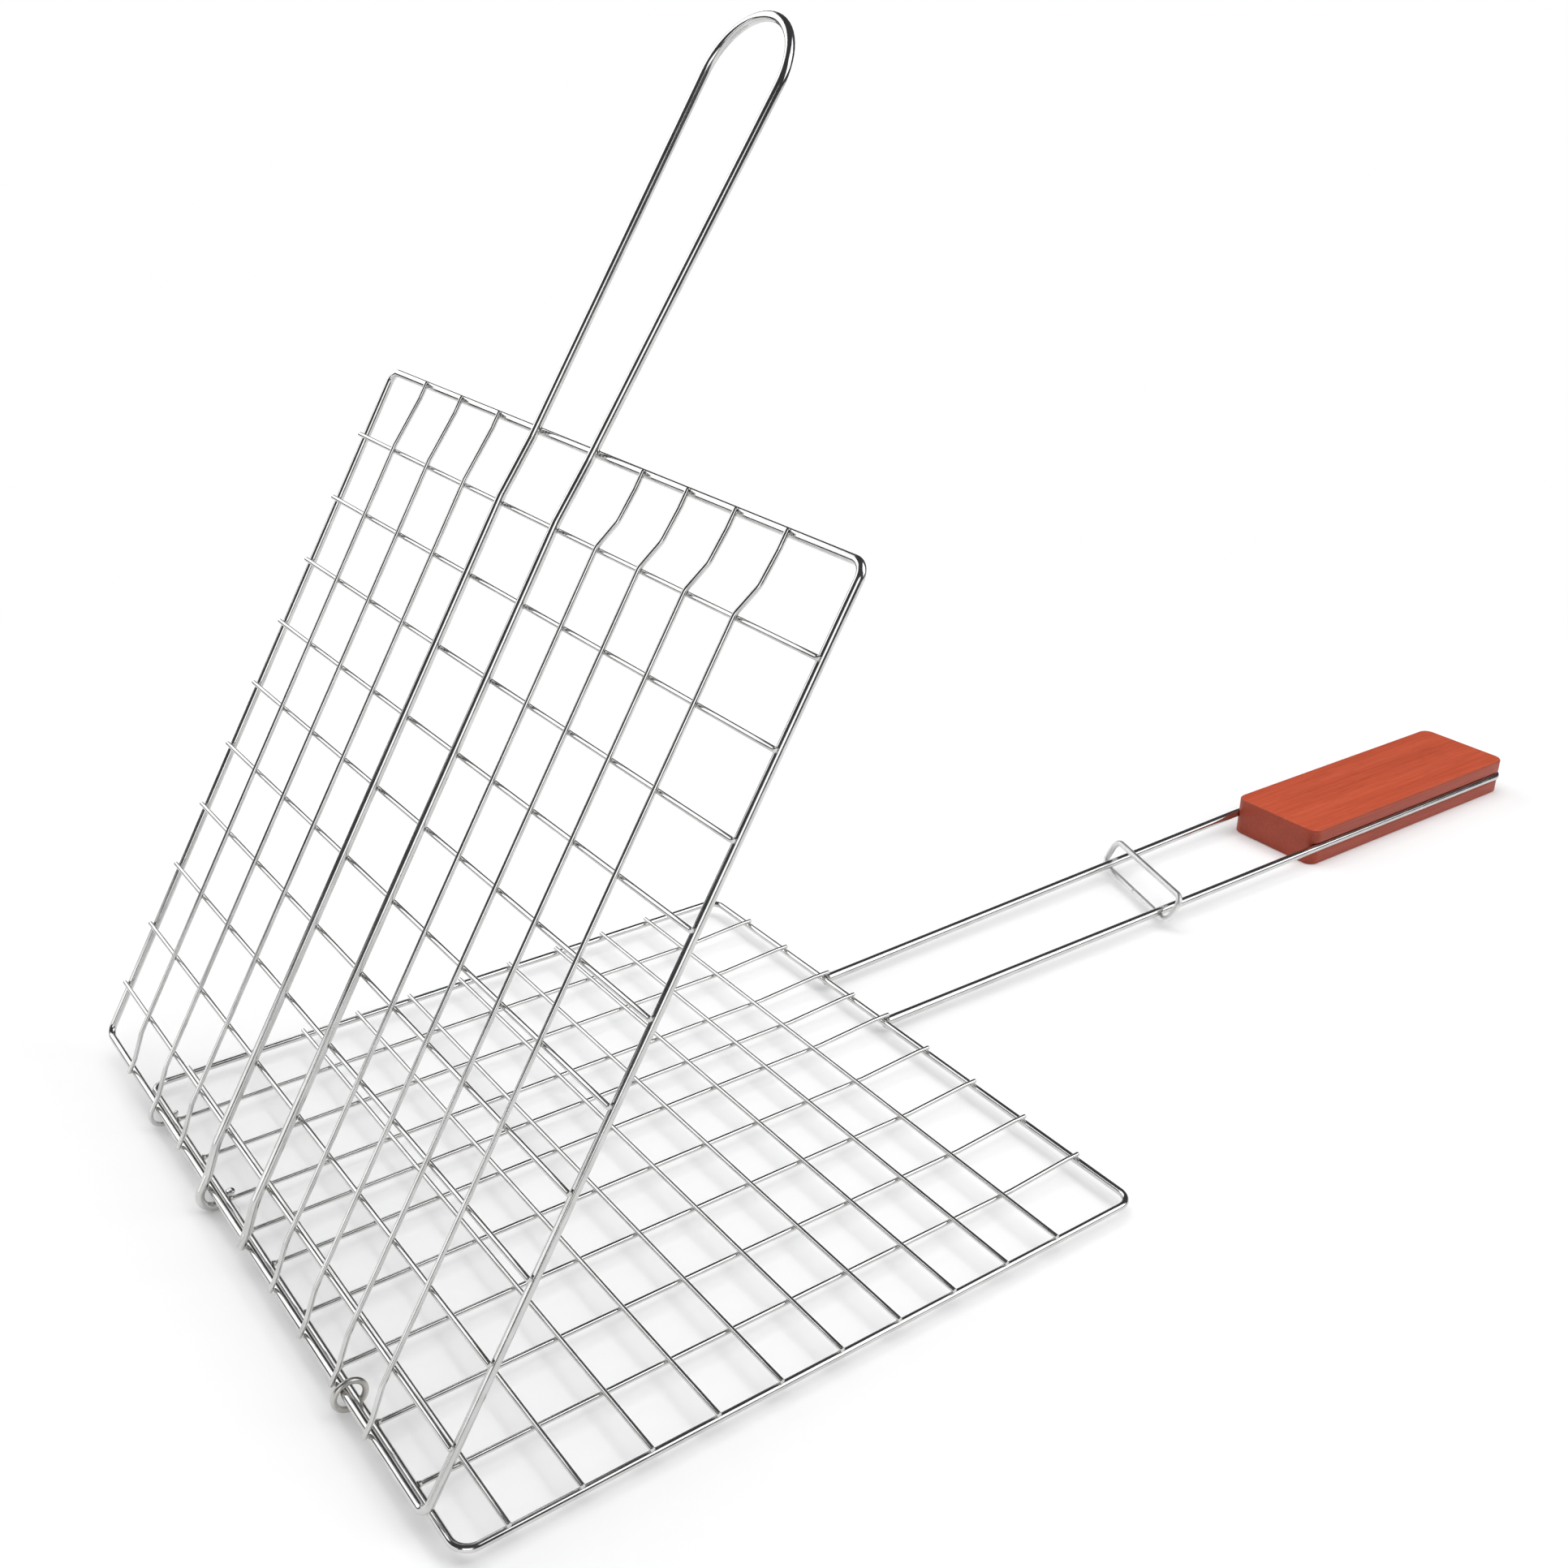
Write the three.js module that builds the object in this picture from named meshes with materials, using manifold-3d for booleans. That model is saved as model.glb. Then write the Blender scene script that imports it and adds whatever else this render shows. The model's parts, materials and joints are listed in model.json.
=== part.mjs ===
// Hinged wire grill basket, shown open with its lid leaning over the base.
// Millimetres, +Z up, +X from the hinge towards the wooden grip, +Y towards the back of the basket.
// The base and the lid are each a bent frame wire with thin wires welded across it both ways. The lid turns on
// the base's hinge-side frame wire, and a loose ring on the base's handle slides over the closed lid's loop.
// The basket is laid out from the hinge axis, at the front end of that frame wire, and moved onto its own
// origin, the bottom centre of its bounding box, at the end.

import * as THREE from 'three';
import { mergeVertices } from 'three/addons/utils/BufferGeometryUtils.js';
import Module from 'manifold-3d';

const wasm = await Module();
wasm.setup();

// ---------- driving dimensions ----------

const weldGap = 0.15; // between wires that are welded where they cross
const hingeGap = 0.2; // between the hinge-side frame wire and what turns round it
const buttGap = 0.3; // between the two ends of a wire bent into a closed loop

const thinRadius = 1; // crossing wires of both grids
const baseRimRadius = 1.5;
const lidRimRadius = 1.6;
const baseRodRadius = 2.2; // wire of the long handle
const lidRodRadius = 1.8; // wire of the lid's loop handle

const baseLength = 300; // hinge side to handle side, between frame wire centres
const baseWidth = 304;
const baseCorner = 7;
const baseCrossFirst = 17;
const baseCrossPitch = 26.6;

const lidStart = 1.8; // the lid's hinge side, further in than the base's
const lidEnd = 330;
const lidWidth = 334;
const lidFront = 16; // the lid's front side is this far behind the base's
const lidCorner = 5;
const lidCrossFirst = 27;
const lidCrossPitch = 30.2;
const lidAngle = 60; // degrees between the base and the open lid
const crossWireCount = 10;
const wireOverhang = 1; // a crossing wire's end passes the centre of the frame wire it is welded on

const baseFrontWireCount = 4; // thin wires in front of the handle's first rod
const baseBackWireCount = 2;
const baseRodFront = 161; // y of the long handle's two rods, at the base
const baseRodBack = 208;
const baseRodSplay = 4.9; // each rod stands this much further out at the grip
const rodEndLap = 3.5; // the thin wires in line with the rods lap onto the rods' ends

const lidRodFront = 171; // y of the lid handle's two rods, on the lid
const lidRodBack = 214;
const lidFrontWires = { first: 56.5, pitch: 28.5, count: 4 };
const lidBackWires = { first: 246, pitch: 33, count: 3 };
const lidHookWire = 1; // which of the lid's back wires ends in a hook
const lidLoop = { reach: 168, front: 158, back: 208, bend: 24, drop: 1.8 }; // reach past the lid's far edge
const joggle = { from: 300, to: 311, shift: -4 }; // sideways step near the ends of the lid's front wires

const standHeight = 6.7; // hinge axis above the table
const rodStartDrop = 0.7; // the rods are welded to the frame wire this far below its centre

const gripStart = 613;
const gripLength = 186.3;
const gripWidth = 57.8;
const gripThickness = 22;
const gripCorner = 5;
const gripEdge = 1.2; // rounding of the grip's long edges
const grooveClearance = 0.5;
const wireProud = 1.7; // the handle wire stands this far out of the groove at the grip's far end

const slideRing = { x: 502, y: 184.5, wireRadius: 1.7, length: 71, bend: 5, skew: 18 };
const slideRingBelow = 4.2; // the ring's two bars, measured from the middle of the rods
const slideRingAbove = 9.2;
const slideRingLean = 7.4; // the top bar is this much nearer to the grip than the bottom bar
const hingeRing = { y: 80, wireRadius: 1.15, clearance: 0.25, facets: 20 };

const thickSides = 12;
const thinSides = 8;
const bendStep = 18; // degrees of bend for each facet
const hookEnd = 30; // degrees that a hook curls on past the bottom of the hinge wire
const slack = 6; // length over which a wire steps from one layer to the next
const rodBend = 24; // easy bend of the long handle where it enters the grip

// ---------- heights of the welded layers, from each frame wire's centre ----------

const rad = THREE.MathUtils.degToRad;
const onBaseRim = baseRimRadius + weldGap + thinRadius;
const underBaseCross = onBaseRim - 2 * thinRadius - weldGap;
const onLidRim = lidRimRadius + weldGap + thinRadius;
const onLidCross = onLidRim + 2 * thinRadius + weldGap;
const rodOnLidRim = lidRimRadius + weldGap + lidRodRadius;
const rodOnLidCross = onLidRim + thinRadius + weldGap + lidRodRadius;
// the closed lid's frame lies on the base's crossing wires
const lidRise = onBaseRim + thinRadius + hingeGap + lidRimRadius;
const gripMiddle = gripThickness / 2 - standHeight;

// ---------- materials ----------

const steel = new THREE.MeshStandardMaterial({ color: 0xc9cacb, roughness: 0.22, metalness: 1 });
const dullSteel = new THREE.MeshStandardMaterial({ color: 0xd2d3d3, roughness: 0.4, metalness: 0.9 });
const wood = new THREE.MeshStandardMaterial({ color: 0xb4523a, roughness: 0.45, metalness: 0 });

// ---------- wires ----------

const corner = (x, y, z, bend = 0) => ({ point: new THREE.Vector3(x, y, z), bend });

// The centre line of a bent wire: straight runs joined by circular bends, with one station at each end of a
// straight run and one for each facet of a bend.
class BentWire extends THREE.Curve {
  constructor(corners) {
    super();
    this.stations = [];
    const last = corners.length - 1;
    const run = (i) => corners[i + 1].point.clone().sub(corners[i].point).normalize();
    this.addStation(corners[0].point, run(0));
    for (let i = 1; i < last; i++) {
      this.addBend(corners[i], run(i - 1), run(i));
    }
    this.addStation(corners[last].point, run(last - 1));
  }

  addStation(point, tangent) {
    const previous = this.stations.at(-1);
    if (previous && previous.point.distanceTo(point) < 1e-4) {
      return;
    }
    this.stations.push({ point, tangent });
  }

  addBend({ point, bend }, into, out) {
    const turn = into.angleTo(out);
    const axis = into.clone().cross(out).normalize();
    const start = point.clone().addScaledVector(into, -bend * Math.tan(turn / 2));
    const centre = start.clone().addScaledVector(axis.clone().cross(into), bend);
    const facets = Math.ceil(turn / rad(bendStep));
    for (let i = 0; i <= facets; i++) {
      const angle = (turn * i) / facets;
      const spoke = start.clone().sub(centre).applyAxisAngle(axis, angle);
      this.addStation(spoke.add(centre), into.clone().applyAxisAngle(axis, angle));
    }
  }

  station(u) {
    return this.stations[Math.round(u * (this.stations.length - 1))];
  }

  getPointAt(u, target = new THREE.Vector3()) {
    return target.copy(this.station(u).point);
  }

  getTangentAt(u, target = new THREE.Vector3()) {
    return target.copy(this.station(u).tangent);
  }
}

// A round wire's section, with a flat facet facing each way along both axes.
function wireSection(radius, sides) {
  const outer = radius / Math.cos(Math.PI / sides);
  const points = [];
  for (let i = 0; i < sides; i++) {
    const angle = ((i + 0.5) * 2 * Math.PI) / sides;
    points.push(new THREE.Vector2(outer * Math.cos(angle), outer * Math.sin(angle)));
  }
  return new THREE.Shape(points);
}

function wire(name, radius, corners, material = steel) {
  const route = new BentWire(corners);
  const section = wireSection(radius, radius > thinRadius ? thickSides : thinSides);
  const steps = route.stations.length - 1;
  const geometry = new THREE.ExtrudeGeometry(section, { steps, extrudePath: route });
  return namedMesh(name, geometry, material);
}

function namedMesh(name, geometry, material) {
  const mesh = new THREE.Mesh(geometry, material);
  mesh.name = name;
  return mesh;
}

// A frame wire bent into a rectangle, its two ends meeting in the middle of the back side.
function frameWire(name, radius, start, end, front, width, bend) {
  const back = front + width;
  const middle = (start + end) / 2;
  return wire(name, radius, [
    corner(middle + buttGap / 2, back, 0),
    corner(end, back, 0, bend),
    corner(end, front, 0, bend),
    corner(start, front, 0, bend),
    corner(start, back, 0, bend),
    corner(middle - buttGap / 2, back, 0),
  ]);
}

// The wires that run from the front to the back of a grid, lying on its frame wire.
function crossWires(prefix, first, pitch, front, width, height) {
  const wires = [];
  for (let i = 0; i < crossWireCount; i++) {
    const x = first + i * pitch;
    wires.push(
      wire(`${prefix}_cross_wire_${i + 1}`, thinRadius, [
        corner(x, front - wireOverhang, height),
        corner(x, front + width + wireOverhang, height),
      ]),
    );
  }
  return wires;
}

// ---------- base grid ----------

// A thin wire from the hinge side to the handle side: it hangs under the crossing wires and rises onto the
// frame wire at the handle side.
function baseLongWire(index, y, lap) {
  const lastCross = baseCrossFirst + (crossWireCount - 1) * baseCrossPitch;
  return wire(`base_long_wire_${index}`, thinRadius, [
    corner(baseRimRadius + weldGap, y, underBaseCross),
    corner(lastCross + slack, y, underBaseCross, slack),
    corner(baseLength - slack, y, onBaseRim, slack),
    corner(baseLength + lap, y, onBaseRim),
  ]);
}

function baseLongWires() {
  const places = [];
  for (let i = 1; i <= baseFrontWireCount; i++) {
    places.push({ y: (baseRodFront * i) / (baseFrontWireCount + 1), lap: wireOverhang });
  }
  places.push({ y: baseRodFront, lap: rodEndLap });
  places.push({ y: (baseRodFront + baseRodBack) / 2, lap: wireOverhang });
  places.push({ y: baseRodBack, lap: rodEndLap });
  const backPitch = (baseWidth - baseRodBack) / (baseBackWireCount + 1);
  for (let i = 1; i <= baseBackWireCount; i++) {
    places.push({ y: baseRodBack + backPitch * i, lap: wireOverhang });
  }
  return places.map(({ y, lap }, i) => baseLongWire(i + 1, y, lap));
}

// ---------- long handle ----------

const gripEnd = gripStart + gripLength;
const rodStart = baseLength + baseRimRadius + buttGap;
const rodSlope = (gripMiddle + rodStartDrop) / (gripStart - rodStart);
const rodHeight = (x) => -rodStartDrop + rodSlope * (x - rodStart);
const loopEnd = gripEnd - baseRodRadius + wireProud;

const gripRodFront = baseRodFront - baseRodSplay;
const gripRodBack = baseRodBack + baseRodSplay;

function baseHandleWire() {
  const bend = gripCorner + baseRodRadius;
  return wire('base_handle_wire', baseRodRadius, [
    corner(rodStart, baseRodFront, rodHeight(rodStart)),
    corner(gripStart, gripRodFront, gripMiddle, rodBend),
    corner(loopEnd, gripRodFront, gripMiddle, bend),
    corner(loopEnd, gripRodBack, gripMiddle, bend),
    corner(gripStart, gripRodBack, gripMiddle, rodBend),
    corner(rodStart, baseRodBack, rodHeight(rodStart)),
  ]);
}

// ---------- wooden grip ----------

function roundedRectangle(x0, y0, x1, y1, r) {
  const shape = new THREE.Shape();
  shape.moveTo(x0 + r, y0);
  shape.lineTo(x1 - r, y0);
  shape.absarc(x1 - r, y0 + r, r, -Math.PI / 2, 0);
  shape.lineTo(x1, y1 - r);
  shape.absarc(x1 - r, y1 - r, r, 0, Math.PI / 2);
  shape.lineTo(x0 + r, y1);
  shape.absarc(x0 + r, y1 - r, r, Math.PI / 2, Math.PI);
  shape.lineTo(x0, y0 + r);
  shape.absarc(x0 + r, y0 + r, r, Math.PI, 1.5 * Math.PI);
  return shape;
}

function toManifold(geometry) {
  geometry.deleteAttribute('normal');
  geometry.deleteAttribute('uv');
  const merged = mergeVertices(geometry);
  const vertProperties = new Float32Array(merged.attributes.position.array);
  const triVerts = new Uint32Array(merged.index.array);
  return new wasm.Manifold(new wasm.Mesh({ numProp: 3, vertProperties, triVerts }));
}

function fromManifold(solid) {
  const { vertProperties, triVerts } = solid.getMesh();
  const geometry = new THREE.BufferGeometry();
  geometry.setAttribute('position', new THREE.BufferAttribute(vertProperties, 3));
  geometry.setIndex(new THREE.BufferAttribute(triVerts, 1));
  geometry.computeVertexNormals();
  return geometry;
}

// A solid block with a groove round its two long sides and its far end. The handle wire lies in the groove.
function woodenGrip() {
  const front = (gripRodFront + gripRodBack - gripWidth) / 2;
  const back = front + gripWidth;
  const outline = roundedRectangle(
    gripStart + gripEdge,
    front + gripEdge,
    gripEnd - gripEdge,
    back - gripEdge,
    gripCorner,
  );
  const block = new THREE.ExtrudeGeometry(outline, {
    depth: gripThickness - 2 * gripEdge,
    bevelSize: gripEdge,
    bevelThickness: gripEdge,
    bevelSegments: 2,
    curveSegments: 5,
  });
  block.translate(0, 0, gripEdge - standHeight);

  const grooveFloor = baseRodRadius + grooveClearance;
  const grooveHeight = 2 * grooveFloor;
  const open = gripStart - gripEdge;
  const beyond = gripEnd + gripEdge;
  const floorFront = gripRodFront + grooveFloor;
  const floorBack = gripRodBack - grooveFloor;
  const floorEnd = loopEnd - grooveFloor;
  const grooveShape = new THREE.Shape([
    new THREE.Vector2(open, front - gripEdge),
    new THREE.Vector2(beyond, front - gripEdge),
    new THREE.Vector2(beyond, back + gripEdge),
    new THREE.Vector2(open, back + gripEdge),
    new THREE.Vector2(open, floorBack),
    new THREE.Vector2(floorEnd - gripCorner, floorBack),
    new THREE.Vector2(floorEnd, floorBack - gripCorner),
    new THREE.Vector2(floorEnd, floorFront + gripCorner),
    new THREE.Vector2(floorEnd - gripCorner, floorFront),
    new THREE.Vector2(open, floorFront),
  ]);
  const groove = new THREE.ExtrudeGeometry(grooveShape, { depth: grooveHeight, bevelEnabled: false });
  groove.translate(0, 0, gripMiddle - grooveHeight / 2);

  const solid = toManifold(block).subtract(toManifold(groove));
  return namedMesh('wooden_grip', fromManifold(solid), wood);
}

// ---------- slide ring ----------

// A long narrow loop of wire round both rods of the handle, leaning towards the grip and turned askew.
function lockRing() {
  const height = Math.hypot(slideRingAbove + slideRingBelow, slideRingLean);
  const halfLength = slideRing.length / 2;
  const halfHeight = height / 2;
  const { bend } = slideRing;
  const ring = wire(
    'slide_ring',
    slideRing.wireRadius,
    [
      corner(0, buttGap / 2, -halfHeight),
      corner(0, halfLength, -halfHeight, bend),
      corner(0, halfLength, halfHeight, bend),
      corner(0, -halfLength, halfHeight, bend),
      corner(0, -halfLength, -halfHeight, bend),
      corner(0, -buttGap / 2, -halfHeight),
    ],
    dullSteel,
  );
  const lean = Math.atan2(slideRingLean, slideRingAbove + slideRingBelow);
  ring.rotation.set(0, lean, -rad(slideRing.skew), 'ZYX');
  const middle = rodHeight(slideRing.x) + (slideRingAbove - slideRingBelow) / 2;
  ring.position.set(slideRing.x, slideRing.y, middle);
  return ring;
}

// ---------- lid, laid out closed and flat, with the hinge axis along Y through the origin ----------

// The end of a wire at the hinge: over the lid's frame wire, round the outside of both frame wires and under
// the base's, in two quarter bends, then on round the base's frame wire.
function hookCorners(y, radius) {
  const over = lidRise + lidRimRadius + weldGap + radius;
  const reach = baseRimRadius + hingeGap + radius;
  const size = (over + reach) / 2;
  const curl = reach * Math.tan(rad(hookEnd / 2));
  const end = new THREE.Vector2(0, -reach).rotateAround(new THREE.Vector2(), rad(hookEnd));
  return [
    corner(end.x, y, end.y),
    corner(curl, y, -reach, reach),
    corner(-size, y, -reach, size),
    corner(-size, y, over, size),
    corner(lidStart + slack, y, over, slack),
  ];
}

const lidLastCross = lidCrossFirst + (crossWireCount - 1) * lidCrossPitch;

// A thin wire over the lid's crossing wires, stepping down onto the frame wire at both ends.
function lidLongWire(name, y, { hooked = false, shift = 0 } = {}) {
  const rim = lidRise + onLidRim;
  const raised = lidRise + onLidCross;
  const hingeEnd = hooked
    ? hookCorners(y, thinRadius)
    : [corner(lidStart - wireOverhang, y, rim), corner(lidStart + slack, y, rim, slack)];
  const farEnd = [corner(lidEnd - slack, y, rim, slack), corner(lidEnd + wireOverhang, y, rim)];
  const joggledEnd = [
    corner(joggle.to, y + shift, (raised + rim) / 2, slack),
    corner(lidEnd - slack, y + shift, rim, slack),
    corner(lidEnd + wireOverhang, y + shift, rim),
  ];
  return wire(name, thinRadius, [
    ...hingeEnd,
    corner(lidCrossFirst - slack, y, raised, slack),
    corner(shift ? joggle.from : lidLastCross + slack / 2, y, raised, slack),
    ...(shift ? joggledEnd : farEnd),
  ]);
}

function lidLongWires() {
  const wires = [];
  for (let i = 0; i < lidFrontWires.count; i++) {
    const y = lidFrontWires.first + i * lidFrontWires.pitch;
    wires.push(lidLongWire(`lid_front_wire_${i + 1}`, y, { shift: joggle.shift }));
  }
  for (let i = 0; i < lidBackWires.count; i++) {
    const y = lidBackWires.first + i * lidBackWires.pitch;
    const hooked = i === lidHookWire;
    wires.push(lidLongWire(hooked ? 'lid_hook_wire' : `lid_back_wire_${i + 1}`, y, { hooked }));
  }
  return wires;
}

// One wire makes both rods and the round loop: it runs the length of the lid, and its back end is a hook.
function lidHandleWire() {
  const rim = lidRise + rodOnLidRim;
  const raised = lidRise + rodOnLidCross;
  const tip = lidEnd + lidLoop.reach;
  const rod = (y, loopY) => [
    corner(lidCrossFirst - slack, y, raised, 2 * slack),
    corner(lidLastCross + slack / 2, y, raised, 2 * slack),
    corner(lidEnd - slack / 2, y, rim, 2 * slack),
    corner(tip, loopY, rim - lidLoop.drop, lidLoop.bend),
  ];
  return wire('lid_handle_wire', lidRodRadius, [
    ...hookCorners(lidRodBack, lidRodRadius),
    ...rod(lidRodBack, lidLoop.back),
    ...rod(lidRodFront, lidLoop.front).reverse(),
    corner(lidStart + slack, lidRodFront, rim, slack),
    corner(lidStart - wireOverhang, lidRodFront, rim),
  ]);
}

// A closed ring round both hinge-side frame wires.
function hingeRingMesh() {
  const lidSide = new THREE.Vector3(lidStart, 0, lidRise);
  const reach = lidSide.length();
  const inner = (baseRimRadius + reach + lidRimRadius) / 2 + hingeRing.clearance;
  const { wireRadius, facets } = hingeRing;
  const geometry = new THREE.TorusGeometry(inner + wireRadius, wireRadius, thinSides, facets);
  geometry.rotateX(Math.PI / 2);
  const centre = lidSide.setLength((reach + lidRimRadius - baseRimRadius) / 2);
  geometry.translate(centre.x, hingeRing.y, centre.z);
  return namedMesh('hinge_ring', geometry, dullSteel);
}

function lid() {
  const grid = new THREE.Group();
  grid.add(frameWire('lid_frame', lidRimRadius, lidStart, lidEnd, lidFront, lidWidth, lidCorner));
  grid.add(...crossWires('lid', lidCrossFirst, lidCrossPitch, lidFront, lidWidth, onLidRim));
  grid.position.z = lidRise;
  const leaf = new THREE.Group();
  leaf.add(grid, ...lidLongWires(), lidHandleWire(), hingeRingMesh());
  leaf.rotation.y = -rad(lidAngle);
  return leaf;
}

// ---------- assembly ----------

function base() {
  const group = new THREE.Group();
  group.add(frameWire('base_frame', baseRimRadius, 0, baseLength, 0, baseWidth, baseCorner));
  group.add(...crossWires('base', baseCrossFirst, baseCrossPitch, 0, baseWidth, onBaseRim));
  group.add(...baseLongWires(), baseHandleWire(), woodenGrip(), lockRing());
  return group;
}

const basket = new THREE.Group();
basket.add(base(), lid());

const box = new THREE.Box3().setFromObject(basket, true);
const centre = box.getCenter(new THREE.Vector3());
basket.position.set(-centre.x, -centre.y, -box.min.z);

export default basket;
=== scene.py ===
"""Looks of the hinged wire grill basket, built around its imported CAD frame.

Every wire of the frame is replaced by a smooth round one on the same route, the welds are drawn in where
wires cross, and the grip gets its sanded edges, its round groove and its grain. Lengths are in millimetres
until they become vertices, and are laid out from the front end of the hinge axis, +X towards the grip and
+Y towards the back. The lid is laid out closed and flat, and turned open by its joint's angle.
"""

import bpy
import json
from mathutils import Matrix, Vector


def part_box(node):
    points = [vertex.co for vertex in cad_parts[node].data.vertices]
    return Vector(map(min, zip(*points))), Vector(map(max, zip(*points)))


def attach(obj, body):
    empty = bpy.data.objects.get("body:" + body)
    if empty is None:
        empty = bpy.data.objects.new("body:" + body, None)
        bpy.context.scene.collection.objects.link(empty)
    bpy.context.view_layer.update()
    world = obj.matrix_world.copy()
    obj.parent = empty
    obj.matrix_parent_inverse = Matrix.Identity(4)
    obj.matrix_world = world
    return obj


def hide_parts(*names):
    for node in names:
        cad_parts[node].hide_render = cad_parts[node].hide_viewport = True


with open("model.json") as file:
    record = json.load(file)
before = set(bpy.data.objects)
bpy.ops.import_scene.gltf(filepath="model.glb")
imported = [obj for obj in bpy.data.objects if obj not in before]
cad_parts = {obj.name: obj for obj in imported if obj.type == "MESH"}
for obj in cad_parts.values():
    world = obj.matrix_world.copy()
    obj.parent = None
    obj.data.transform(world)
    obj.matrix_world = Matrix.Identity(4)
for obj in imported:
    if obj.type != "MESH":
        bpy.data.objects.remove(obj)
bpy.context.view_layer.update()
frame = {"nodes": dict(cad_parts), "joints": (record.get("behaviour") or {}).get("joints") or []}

import json
import math

import bpy
from mathutils import Matrix, Vector

MM = 0.001

# ---------- dimensions, in millimetres ----------

WELD_GAP = 0.15  # between two welded wires
HINGE_GAP = 0.2  # between two wires that turn on each other
BUTT_GAP = 0.3  # between two wire ends that meet

# wire radii
THIN = 1.0
BASE_RIM = 1.5
LID_RIM = 1.6
BASE_ROD = 2.2
LID_ROD = 1.8
SLIDE_RING = 1.7

# the two grids, between the centres of their frame wires
BASE_LENGTH, BASE_WIDTH, BASE_CORNER = 300, 304, 7
LID_START, LID_END, LID_WIDTH, LID_CORNER = 1.8, 330, 334, 5
LID_FRONT = 16
CROSS_COUNT = 10
OVERHANG = 1  # of a thin wire's end beyond the frame wire
SLACK = 6  # run and radius of the small bends over and under other wires
JOGGLE_FROM, JOGGLE_TO, JOGGLE_SHIFT = 300, 311, -4  # the sideways step in the lid's front wires
HOOK_END = math.radians(30)  # how far past the lowest point of the hinge wire a hook goes on

# the handles: y of each one's two rods, and how they run on
BASE_RODS = (161, 208)
ROD_SPLAY, ROD_BEND, ROD_START_DROP = 4.9, 24, 0.7
LID_RODS = (171, 214)
LOOP_TIPS = (158, 208)
LOOP_REACH, LOOP_BEND, LOOP_DROP = 168, 24, 1.8

# the grip, and the round groove that holds the handle's wire
GRIP_CORNER, GRIP_EDGE = 5, 1.2
GROOVE_CLEARANCE = 0.5
MOUTH = 0.5  # rounding of the groove's two edges
WIRE_PROUD = 1.7

# the slide ring, which stands askew on the rods: its two bars lie below and above them, the upper one nearer
# to the grip
RING_LENGTH, RING_BEND, RING_SKEW = 71, 5, math.radians(18)
RING_BELOW, RING_ABOVE, RING_LEAN = 4.2, 9.2, 7.4

# how finely shapes are cut into faces
BEND_STEP = math.radians(6)
RUN_STEP = 12  # longest stretch of straight wire between two rings of the mesh
TOUCHING = 1e-4  # two points closer than this are one
THICK_SIDES, THIN_SIDES = 24, 16
HINGE_RING_STEPS = 48
GRIP_CORNER_STEPS, GRIP_SIDE_STEPS, GRIP_END_STEPS = 8, 14, 6
EDGE_STEPS, MOUTH_STEPS, GROOVE_STEPS = 5, 4, 8
GRIP_SHARP = math.radians(50)  # sharper turns between the grip's faces are creases

QUARTER = math.pi / 2

# ---------- the two layouts, placed from the frame ----------

hinge = next(j for j in frame["joints"] if j["name"] == "lid_hinge")
pivot = Vector(hinge["pos_m"])
lid_angle = math.radians(hinge["range_deg"][0])
front_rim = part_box("base_frame")[0].y + BASE_RIM * MM
BASE = Matrix.Translation((pivot.x, front_rim, pivot.z)) @ Matrix.Scale(MM, 4)
LID = BASE @ Matrix.Rotation(lid_angle, 4, "Y")


def extent(node, layout):
    """Lowest and highest corner of a CAD node, in a layout's millimetres."""
    to_layout = layout.inverted()
    points = [to_layout @ v.co for v in frame["nodes"][node].data.vertices]
    axes = list(zip(*points))
    return Vector(map(min, axes)), Vector(map(max, axes))


def middle(node, layout):
    """Middle of a CAD node, in a layout's millimetres."""
    low, high = extent(node, layout)
    return (low + high) / 2


# heights of wire centres above their grid's frame wire, and of the closed lid's frame wire above the base's
ON_BASE_RIM = BASE_RIM + WELD_GAP + THIN
UNDER_BASE_CROSS = ON_BASE_RIM - 2 * THIN - WELD_GAP
ON_LID_RIM = LID_RIM + WELD_GAP + THIN
ON_LID_CROSS = ON_LID_RIM + 2 * THIN + WELD_GAP
ROD_ON_LID_RIM = LID_RIM + WELD_GAP + LID_ROD
ROD_ON_LID_CROSS = ON_LID_RIM + THIN + WELD_GAP + LID_ROD
LID_RISE = ON_BASE_RIM + THIN + HINGE_GAP + LID_RIM

base_crosses = [middle(f"base_cross_wire_{i + 1}", BASE).x for i in range(CROSS_COUNT)]
base_long_wires = sorted(n for n in frame["nodes"] if n.startswith("base_long_wire"))
lid_crosses = [middle(f"lid_cross_wire_{i + 1}", LID).x for i in range(CROSS_COUNT)]

# ---------- materials ----------


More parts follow.
